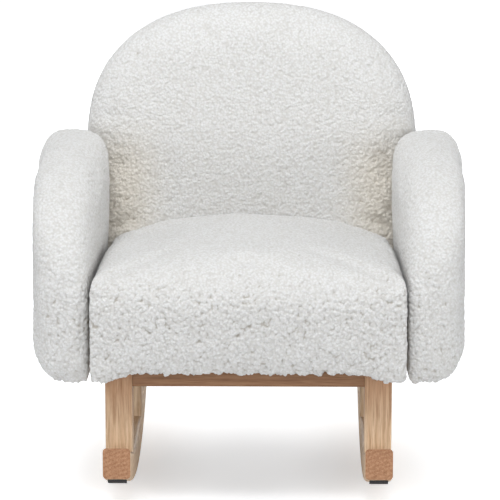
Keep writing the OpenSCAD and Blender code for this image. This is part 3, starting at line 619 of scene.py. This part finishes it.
bpy.ops.object.select_all(action="DESELECT")
bpy.ops.mesh.primitive_cylinder_add(
    vertices=96, radius=1.0, depth=1.0, location=(arm_thick / 2, arm_level_y, arm_spring_z),
    rotation=(0.0, math.pi / 2, 0.0),
)
right_arm = bpy.context.object
right_arm.name = "right_arm_cushion"
arm_radii = (arm_top_z - arm_spring_z - skin_in, arm_level_y - arm_front_y - skin_in)
right_arm.scale = (arm_radii[0], arm_radii[1], arm_thick - 2 * skin_in)
bpy.ops.object.transform_apply(location=True, rotation=True, scale=True)
fill_out(right_arm, (2, 1), (arm_spring_z, arm_level_y), arm_radii, arm_power)
cut(right_arm, (0.0, 0.0, arm_spring_z), (0.0, 0.0, 1.0), clear_inner=True, fill=True)
cut(right_arm, (0.0, arm_level_y, 0.0), (0.0, 1.0, 0.0), clear_outer=True, fill=True)
pick_faces(right_arm, lambda f: f.normal.z < -0.9)
down = arm_low_z + skin_in - arm_spring_z
bpy.ops.mesh.extrude_region_move(TRANSFORM_OT_translate={"value": (0.0, 0.0, down)})
pick_faces(right_arm, lambda f: f.normal.y > 0.9)
bpy.ops.mesh.extrude_region_move(TRANSFORM_OT_translate={"value": (0.0, arm_level, 0.0)})
bpy.ops.object.mode_set(mode="OBJECT")
co = spots_of(right_arm)
rear = co[:, 1] > arm_level_y + arm_level / 2
co[rear, 1] = back_face_y(co[rear, 2]) - 0.0008
set_spots(right_arm, co)
weigh_rim(right_arm, lambda f: f.normal.x > 0.9, lambda spot: 1.0 - top_tighter * ease(0.250, 0.330, spot[2]))
weigh_rim(
    right_arm, lambda f: f.normal.x < -0.9,
    lambda spot: (seat_edge_roll + (arm_roll - seat_edge_roll) * ease(0.245, 0.315, spot[2])) / arm_roll,
)
corners = ((arm_front_y, arm_low_z, foot_round), (back_face_y(arm_low_z), arm_low_z, heel_round),
           (back_face_y(arm_top_z), arm_top_z, heel_round))
shares = right_arm.data.attributes["bevel_weight_edge"]
for edge in right_arm.data.edges:
    a, b = (right_arm.data.vertices[i].co for i in edge.vertices)
    for y, z, rounding in corners:
        if abs(a.x - b.x) > arm_thick / 2 and math.hypot(a.y - y, a.z - z) < 0.006:
            shares.data[edge.index].value = rounding / arm_roll
select_only(right_arm)
bpy.ops.object.modifier_add(type="BEVEL")
rounds = right_arm.modifiers[-1]
rounds.limit_method = "WEIGHT"
rounds.width = arm_roll
rounds.segments = 8
rounds.use_clamp_overlap = False
bpy.ops.object.modifier_apply(modifier=rounds.name)
remesh(right_arm, voxel)
co = spots_of(right_arm)
widening = 1.0 + (co[:, 1] - arm_front_y) * math.tan(arm_spread) / arm_thick
co[:, 0] *= widening
high_rear = ease(0.270, 0.345, co[:, 2]) * ease(arm_front_y + 0.030, arm_front_y + 0.140, co[:, 1])
co[:, 0] += arm_flare * high_rear * co[:, 0] / arm_thick
turn = np.array(Matrix.Rotation(toe_in, 3, "Z"))
foot_place = np.array([0.0, arm_front_y, 0.0])
co = (co - foot_place) @ turn.T + foot_place + np.array([arm_inner_x, 0.0, 0.0])
set_spots(right_arm, co)
inner_x = arm_inner_x - (co[:, 1] - arm_front_y) * math.tan(toe_in)
touching = (co[:, 0] - inner_x < 0.012) & (co[:, 2] < 0.250)
butted = back_face_y(co[:, 2]) - co[:, 1] < 0.006
stuff(right_arm, np.where(touching | butted, 1.0, 0.0), 0.003)
bpy.ops.object.select_all(action="DESELECT")
right_arm.select_set(True)
bpy.ops.object.duplicate()
left_arm = bpy.context.selected_objects[0]
left_arm.name = "left_arm_cushion"
co = spots_of(left_arm)
co[:, 0] *= -1.0
set_spots(left_arm, co)
select_only(left_arm)
bpy.ops.object.mode_set(mode="EDIT")
bpy.ops.mesh.select_all(action="SELECT")
bpy.ops.mesh.normals_make_consistent(inside=False)
bpy.ops.object.mode_set(mode="OBJECT")
for arm, side in ((left_arm, "left"), (right_arm, "right")):
    co = spots_of(arm)
    inner_x = arm_inner_x - (co[:, 1] - arm_front_y) * math.tan(toe_in)
    beside_seat = ease(0.016, 0.006, np.abs(co[:, 0]) - inner_x) * ease(0.252, 0.236, co[:, 2])
    beside_seat *= ease(front_y + 0.022, front_y + 0.036, co[:, 1])
    on_back = ease(0.010, 0.002, back_face_y(co[:, 2]) - co[:, 1]) * ease(0.194, 0.186, np.abs(co[:, 0]))
    hem = ease(arm_low_z + 0.018, arm_low_z + 0.002, co[:, 2])
    smoother = 0.12 + 0.44 * ease(arm_low_z + 0.06, arm_top_z - 0.06, co[:, 2])
    raise_pile(arm, (1.0 - np.maximum(beside_seat, on_back)) * (1.0 - smoother), hem)
    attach(arm, "root")
    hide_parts(side + "_arm_cover", side + "_arm_foam")


# Runners, legs and base rails: solid beech, planed, rounded along the edges and finished with a clear satin lacquer
# The grain runs along each piece, so growth rings show on the runners' tips and long lines on the faces
def beech(name, along, heart, tone_and_shade=(1.0, 1.0, 1.0)):
    wood = bpy.data.materials.new(name)
    wood.use_nodes = True
    tree = wood.node_tree
    lacquer = tree.nodes["Principled BSDF"]
    lacquer.inputs["Specular IOR Level"].default_value = 0.35
    place = tree.nodes.new("ShaderNodeTexCoord")
    centre = tree.nodes.new("ShaderNodeMapping")
    centre.inputs["Location"].default_value = heart
    squeeze = [1.0, 1.0, 1.0]
    squeeze["XYZ".index(along)] = 0.05
    fibre_place = tree.nodes.new("ShaderNodeMapping")
    fibre_place.inputs["Scale"].default_value = squeeze
    rings = tree.nodes.new("ShaderNodeTexWave")
    rings.wave_type = "RINGS"
    rings.rings_direction = along
    rings.inputs["Scale"].default_value = 62.0
    rings.inputs["Distortion"].default_value = 1.6
    rings.inputs["Detail"].default_value = 3.0
    rings.inputs["Detail Scale"].default_value = 0.35
    fibres = tree.nodes.new("ShaderNodeTexNoise")
    fibres.inputs["Scale"].default_value = 560.0
    fibres.inputs["Detail"].default_value = 5.0
    fibres.inputs["Roughness"].default_value = 0.65
    flecks = tree.nodes.new("ShaderNodeTexVoronoi")
    flecks.inputs["Scale"].default_value = 330.0
    fleck_ramp = tree.nodes.new("ShaderNodeValToRGB")
    fleck_ramp.color_ramp.elements[0].position = 0.08
    fleck_ramp.color_ramp.elements[0].color = (0.70, 0.62, 0.55, 1.0)
    fleck_ramp.color_ramp.elements[1].position = 0.24
    fleck_ramp.color_ramp.elements[1].color = (1.0, 1.0, 1.0, 1.0)
    tone = tree.nodes.new("ShaderNodeTexNoise")
    tone.inputs["Scale"].default_value = 14.0
    tone.inputs["Detail"].default_value = 2.0
    ring_ramp = tree.nodes.new("ShaderNodeValToRGB")
    ring_ramp.color_ramp.elements[0].position = 0.15
    ring_ramp.color_ramp.elements[0].color = (0.760, 0.590, 0.420, 1.0)
    ring_ramp.color_ramp.elements[1].position = 0.85
    ring_ramp.color_ramp.elements[1].color = (0.675, 0.495, 0.335, 1.0)
    fibre_ramp = tree.nodes.new("ShaderNodeValToRGB")
    fibre_ramp.color_ramp.elements[0].position = 0.36
    fibre_ramp.color_ramp.elements[0].color = (0.72, 0.63, 0.55, 1.0)
    fibre_ramp.color_ramp.elements[1].position = 0.60
    fibre_ramp.color_ramp.elements[1].color = (1.06, 1.05, 1.03, 1.0)
    height = tree.nodes.new("ShaderNodeSeparateXYZ")
    # Painted shadow: the wood darkens and reddens towards the seat above, from 60 mm to 145 mm up
    near_seat = tree.nodes.new("ShaderNodeMapRange")
    near_seat.interpolation_type = "SMOOTHSTEP"
    near_seat.inputs["From Min"].default_value = 0.060
    near_seat.inputs["From Max"].default_value = 0.145
    painted_seat_shadow = tree.nodes.new("ShaderNodeValToRGB")
    painted_seat_shadow.color_ramp.elements[0].color = (1.0, 1.0, 1.0, 1.0)
    painted_seat_shadow.color_ramp.elements[1].color = (0.58, 0.46, 0.385, 1.0)
    tone_ramp = tree.nodes.new("ShaderNodeValToRGB")
    tone_ramp.color_ramp.elements[0].position = 0.3
    tone_ramp.color_ramp.elements[0].color = (0.93, 0.91, 0.89, 1.0)
    tone_ramp.color_ramp.elements[1].position = 0.7
    tone_ramp.color_ramp.elements[1].color = (1.03, 1.03, 1.03, 1.0)
    # Painted light: faces turned to either side along X are lighter
    sides = tree.nodes.new("ShaderNodeSeparateXYZ")
    side_way = tree.nodes.new("ShaderNodeMath")
    side_way.operation = "ABSOLUTE"
    painted_side_light = tree.nodes.new("ShaderNodeValToRGB")
    painted_side_light.color_ramp.elements[0].position = 0.55
    painted_side_light.color_ramp.elements[0].color = (1.0, 1.0, 1.0, 1.0)
    painted_side_light.color_ramp.elements[1].position = 0.85
    painted_side_light.color_ramp.elements[1].color = (1.14, 1.17, 1.20, 1.0)
    grain_way = tree.nodes.new("ShaderNodeVectorMath")
    grain_way.operation = "DOT_PRODUCT"
    grain_way.inputs[1].default_value = [1.0 if axis == along else 0.0 for axis in "XYZ"]
    facing = tree.nodes.new("ShaderNodeMath")
    facing.operation = "ABSOLUTE"
    # End grain is darker; both stops carry the given tone and painted shade
    end_grain = tree.nodes.new("ShaderNodeValToRGB")
    end_grain.color_ramp.elements[0].position = 0.55
    end_grain.color_ramp.elements[0].color = (*tone_and_shade, 1.0)
    end_grain.color_ramp.elements[1].position = 0.85
    end_grain.color_ramp.elements[1].color = (0.60 * tone_and_shade[0], 0.43 * tone_and_shade[1], 0.345 * tone_and_shade[2], 1.0)
    gloss = tree.nodes.new("ShaderNodeMapRange")
    gloss.inputs["To Min"].default_value = 0.40
    gloss.inputs["To Max"].default_value = 0.58
    relief = tree.nodes.new("ShaderNodeBump")
    relief.inputs["Strength"].default_value = 0.22
    relief.inputs["Distance"].default_value = 0.0004
    links = tree.links
    links.new(place.outputs["Object"], centre.inputs["Vector"])
    links.new(centre.outputs["Vector"], rings.inputs["Vector"])
    links.new(place.outputs["Object"], fibre_place.inputs["Vector"])
    links.new(fibre_place.outputs["Vector"], fibres.inputs["Vector"])
    links.new(fibre_place.outputs["Vector"], flecks.inputs["Vector"])
    links.new(fibre_place.outputs["Vector"], tone.inputs["Vector"])
    links.new(rings.outputs["Fac"], ring_ramp.inputs["Fac"])
    links.new(fibres.outputs["Fac"], fibre_ramp.inputs["Fac"])
    links.new(flecks.outputs["Distance"], fleck_ramp.inputs["Fac"])
    links.new(tone.outputs["Fac"], tone_ramp.inputs["Fac"])
    links.new(place.outputs["Object"], height.inputs["Vector"])
    links.new(height.outputs["Z"], near_seat.inputs["Value"])
    links.new(near_seat.outputs["Result"], painted_seat_shadow.inputs["Fac"])
    links.new(place.outputs["Normal"], sides.inputs["Vector"])
    links.new(sides.outputs["X"], side_way.inputs[0])
    links.new(side_way.outputs[0], painted_side_light.inputs["Fac"])
    links.new(place.outputs["Normal"], grain_way.inputs[0])
    links.new(grain_way.outputs["Value"], facing.inputs[0])
    links.new(facing.outputs[0], end_grain.inputs["Fac"])
    colour = ring_ramp.outputs["Color"]
    for layer in (fibre_ramp, fleck_ramp, tone_ramp, end_grain, painted_side_light, painted_seat_shadow):
        blend = tree.nodes.new("ShaderNodeMix")
        blend.data_type = "RGBA"
        blend.blend_type = "MULTIPLY"
        blend.inputs["Factor"].default_value = 1.0
        links.new(colour, blend.inputs["A"])
        links.new(layer.outputs["Color"], blend.inputs["B"])
        colour = blend.outputs["Result"]
    links.new(colour, lacquer.inputs["Base Color"])
    links.new(fibres.outputs["Fac"], gloss.inputs["Value"])
    links.new(gloss.outputs["Result"], lacquer.inputs["Roughness"])
    links.new(fibres.outputs["Fac"], relief.inputs["Height"])
    links.new(relief.outputs["Normal"], lacquer.inputs["Normal"])
    return wood


def finish_with(material, *names):
    for name in names:
        piece = nodes[name]
        piece.data.materials.clear()
        piece.data.materials.append(material)


finish_with(beech("left_runner_beech", "Y", (0.105, 0.0, 0.045)), "left_runner", "left_side_rail")
finish_with(beech("right_runner_beech", "Y", (-0.185, 0.0, 0.050)), "right_runner", "right_side_rail")
finish_with(beech("left_leg_beech", "Z", (0.190, 0.250, 0.0)), "front_left_leg", "rear_left_leg")
finish_with(beech("right_leg_beech", "Z", (-0.090, 0.230, 0.0)), "front_right_leg", "rear_right_leg")
# The rails take a darker, redder tone, partly their own wood and partly painted shade from the seat above
finish_with(beech("rail_beech", "X", (0.0, 0.240, -0.090), (0.66, 0.59, 0.53)), "front_rail", "rear_rail")
finish_with(beech("dowel_beech", "X", (0.0, 0.0, 0.0)), "leg_dowels", "rail_dowels")


# Seat frame, back posts and spacers: knot-free pine, sawn and planed, with broad soft growth rings
# They are screwed and glued together, and the foam and the cloth are stapled to them
def plain_wood(name, along, light, dark, ring_scale, heart):
    wood = bpy.data.materials.new(name)
    wood.use_nodes = True
    tree = wood.node_tree
    face = tree.nodes["Principled BSDF"]
    face.inputs["Specular IOR Level"].default_value = 0.25
    place = tree.nodes.new("ShaderNodeTexCoord")
    centre = tree.nodes.new("ShaderNodeMapping")
    centre.inputs["Location"].default_value = heart
    rings = tree.nodes.new("ShaderNodeTexWave")
    rings.wave_type = "RINGS"
    rings.rings_direction = along
    rings.inputs["Scale"].default_value = ring_scale
    rings.inputs["Distortion"].default_value = 3.0
    rings.inputs["Detail"].default_value = 3.0
    rings.inputs["Detail Scale"].default_value = 0.3
    ramp = tree.nodes.new("ShaderNodeValToRGB")
    ramp.color_ramp.elements[0].position = 0.2
    ramp.color_ramp.elements[0].color = (*light, 1.0)
    ramp.color_ramp.elements[1].position = 0.95
    ramp.color_ramp.elements[1].color = (*dark, 1.0)
    grit = tree.nodes.new("ShaderNodeTexNoise")
    grit.inputs["Scale"].default_value = 600.0
    grit.inputs["Detail"].default_value = 4.0
    rough = tree.nodes.new("ShaderNodeMapRange")
    rough.inputs["To Min"].default_value = 0.62
    rough.inputs["To Max"].default_value = 0.82
    relief = tree.nodes.new("ShaderNodeBump")
    relief.inputs["Strength"].default_value = 0.3
    relief.inputs["Distance"].default_value = 0.0003
    links = tree.links
    links.new(place.outputs["Object"], centre.inputs["Vector"])
    links.new(centre.outputs["Vector"], rings.inputs["Vector"])
    links.new(place.outputs["Object"], grit.inputs["Vector"])
    links.new(rings.outputs["Fac"], ramp.inputs["Fac"])
    links.new(ramp.outputs["Color"], face.inputs["Base Color"])
    links.new(grit.outputs["Fac"], rough.inputs["Value"])
    links.new(rough.outputs["Result"], face.inputs["Roughness"])
    links.new(grit.outputs["Fac"], relief.inputs["Height"])
    links.new(relief.outputs["Normal"], face.inputs["Normal"])
    return wood


pine_light = (0.76, 0.58, 0.36)
pine_dark = (0.60, 0.40, 0.21)
pine_across = plain_wood("pine_across", "X", pine_light, pine_dark, 40.0, (0.0, 0.12, -0.10))
pine_along = plain_wood("pine_along", "Y", pine_light, pine_dark, 40.0, (0.09, 0.0, -0.11))
pine_upright = plain_wood("pine_upright", "Z", pine_light, pine_dark, 40.0, (0.05, 0.10, 0.0))
finish_with(pine_across, "seat_front_rail", "seat_rear_rail", "back_top_rail")
finish_with(pine_along, "seat_left_rail", "seat_right_rail", "seat_corner_blocks")
finish_with(pine_upright, "back_left_post", "back_right_post", "left_arm_spacers", "right_arm_spacers")

# Boards: birch plywood with a pale face veneer, screwed to the seat frame, the posts and the arm spacers
# The padding is glued to their faces
birch_light = (0.72, 0.56, 0.38)
birch_dark = (0.60, 0.44, 0.27)
board_names = ["seat_board", "back_board", "left_arm_inner_board", "right_arm_inner_board"]
board_names += ["left_arm_outer_board", "right_arm_outer_board"]
finish_with(plain_wood("birch_plywood", "Y", birch_light, birch_dark, 24.0, (0.4, 0.0, 0.5)), *board_names)


# Tip pads: square black rubber feet, glued flat under both tips of each runner
# They stop the chair when it is rocked too far, and keep the wood off the floor
def fine_finish(name, dark, light, metal, rough_low, rough_high, grain, depth):
    surface = bpy.data.materials.new(name)
    surface.use_nodes = True
    tree = surface.node_tree
    body = tree.nodes["Principled BSDF"]
    body.inputs["Metallic"].default_value = metal
    place = tree.nodes.new("ShaderNodeTexCoord")
    grit = tree.nodes.new("ShaderNodeTexNoise")
    grit.inputs["Scale"].default_value = grain
    grit.inputs["Detail"].default_value = 4.0
    ramp = tree.nodes.new("ShaderNodeValToRGB")
    ramp.color_ramp.elements[0].position = 0.3
    ramp.color_ramp.elements[0].color = (*dark, 1.0)
    ramp.color_ramp.elements[1].position = 0.7
    ramp.color_ramp.elements[1].color = (*light, 1.0)
    rough = tree.nodes.new("ShaderNodeMapRange")
    rough.inputs["To Min"].default_value = rough_low
    rough.inputs["To Max"].default_value = rough_high
    relief = tree.nodes.new("ShaderNodeBump")
    relief.inputs["Strength"].default_value = 0.4
    relief.inputs["Distance"].default_value = depth
    links = tree.links
    links.new(place.outputs["Object"], grit.inputs["Vector"])
    links.new(grit.outputs["Fac"], ramp.inputs["Fac"])
    links.new(ramp.outputs["Color"], body.inputs["Base Color"])
    links.new(grit.outputs["Fac"], rough.inputs["Value"])
    links.new(rough.outputs["Result"], body.inputs["Roughness"])
    links.new(grit.outputs["Fac"], relief.inputs["Height"])
    links.new(relief.outputs["Normal"], body.inputs["Normal"])
    return surface


black_rubber = fine_finish("black_rubber", (0.012, 0.012, 0.013), (0.028, 0.028, 0.030), 0.0, 0.6, 0.85, 900.0, 0.0003)
finish_with(black_rubber, "front_tip_pads", "rear_tip_pads")

# Bolts, washers, tee nuts and screws: mild steel with a bright zinc finish, slightly cloudy
# They hold the base, seat frame, back and arms together, and can be undone from below
zinc = fine_finish("bright_zinc", (0.50, 0.51, 0.53), (0.66, 0.67, 0.69), 1.0, 0.28, 0.45, 500.0, 0.0001)
bolt_names = ["leg_bolts", "base_bolts", "base_washers", "base_tee_nuts", "back_bolts", "back_washers"]
bolt_names += ["back_tee_nuts", "arm_bolts", "arm_washers", "arm_tee_nuts", "seat_frame_screws", "seat_board_screws"]
finish_with(zinc, *bolt_names)

# Threaded inserts: yellow die-cast alloy, turned into the foot of each leg for the bolt through the runner
insert_alloy = fine_finish("insert_alloy", (0.58, 0.42, 0.18), (0.72, 0.54, 0.26), 1.0, 0.32, 0.5, 500.0, 0.0001)
finish_with(insert_alloy, "leg_insert_nuts")

# Dust cloth: thin black spun-bonded cloth stretched under the seat frame, between the frame and the base
# It is stapled along the frame's rails, and sags a little in the open middle
cloth_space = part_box("dust_cover")
cloth_width = cloth_space[1][0] - cloth_space[0][0]
cloth_length = cloth_space[1][1] - cloth_space[0][1]
cloth_thick = 0.0004
cloth_z = cloth_space[0][2] + 0.0003
bpy.ops.object.select_all(action="DESELECT")
bpy.ops.mesh.primitive_grid_add(
    x_subdivisions=72, y_subdivisions=54, size=1.0,
    location=(0.0, (cloth_space[0][1] + cloth_space[1][1]) / 2, cloth_z),
)
dust_cloth = bpy.context.object
dust_cloth.name = "dust_cloth"
dust_cloth.scale = (cloth_width, cloth_length, 1.0)
bpy.ops.object.transform_apply(location=True, rotation=False, scale=True)
co = spots_of(dust_cloth)
co[:, 0] *= 1.0 - (co[:, 1] - cloth_space[0][1]) * math.tan(toe_in) / (cloth_width / 2)
open_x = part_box("right_side_rail")[0][0] - 0.004
open_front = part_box("front_rail")[1][1] + 0.004
open_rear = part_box("rear_rail")[0][1] - 0.004
sag_x = np.clip(1.0 - (co[:, 0] / open_x) ** 2, 0.0, 1.0)
sag_y = np.clip((co[:, 1] - open_front) * (open_rear - co[:, 1]) / ((open_rear - open_front) / 2) ** 2, 0.0, 1.0)
ripple = np.sin(co[:, 0] * 95.0 + 2.0 * np.sin(co[:, 1] * 31.0)) * 0.12
co[:, 2] -= 0.0045 * sag_x * sag_y * (1.0 + ripple)
set_spots(dust_cloth, co)
select_only(dust_cloth)
bpy.ops.object.modifier_add(type="SOLIDIFY")
dust_cloth.modifiers[-1].thickness = cloth_thick
dust_cloth.modifiers[-1].offset = 0.0
bpy.ops.object.modifier_apply(modifier=dust_cloth.modifiers[-1].name)
bpy.ops.object.shade_smooth_by_angle(angle=math.radians(40.0))
spun = fine_finish("spun_cloth", (0.010, 0.010, 0.011), (0.034, 0.034, 0.036), 0.0, 0.75, 0.95, 1100.0, 0.0002)
dust_cloth.data.materials.append(spun)
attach(dust_cloth, "root")
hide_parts("dust_cover")
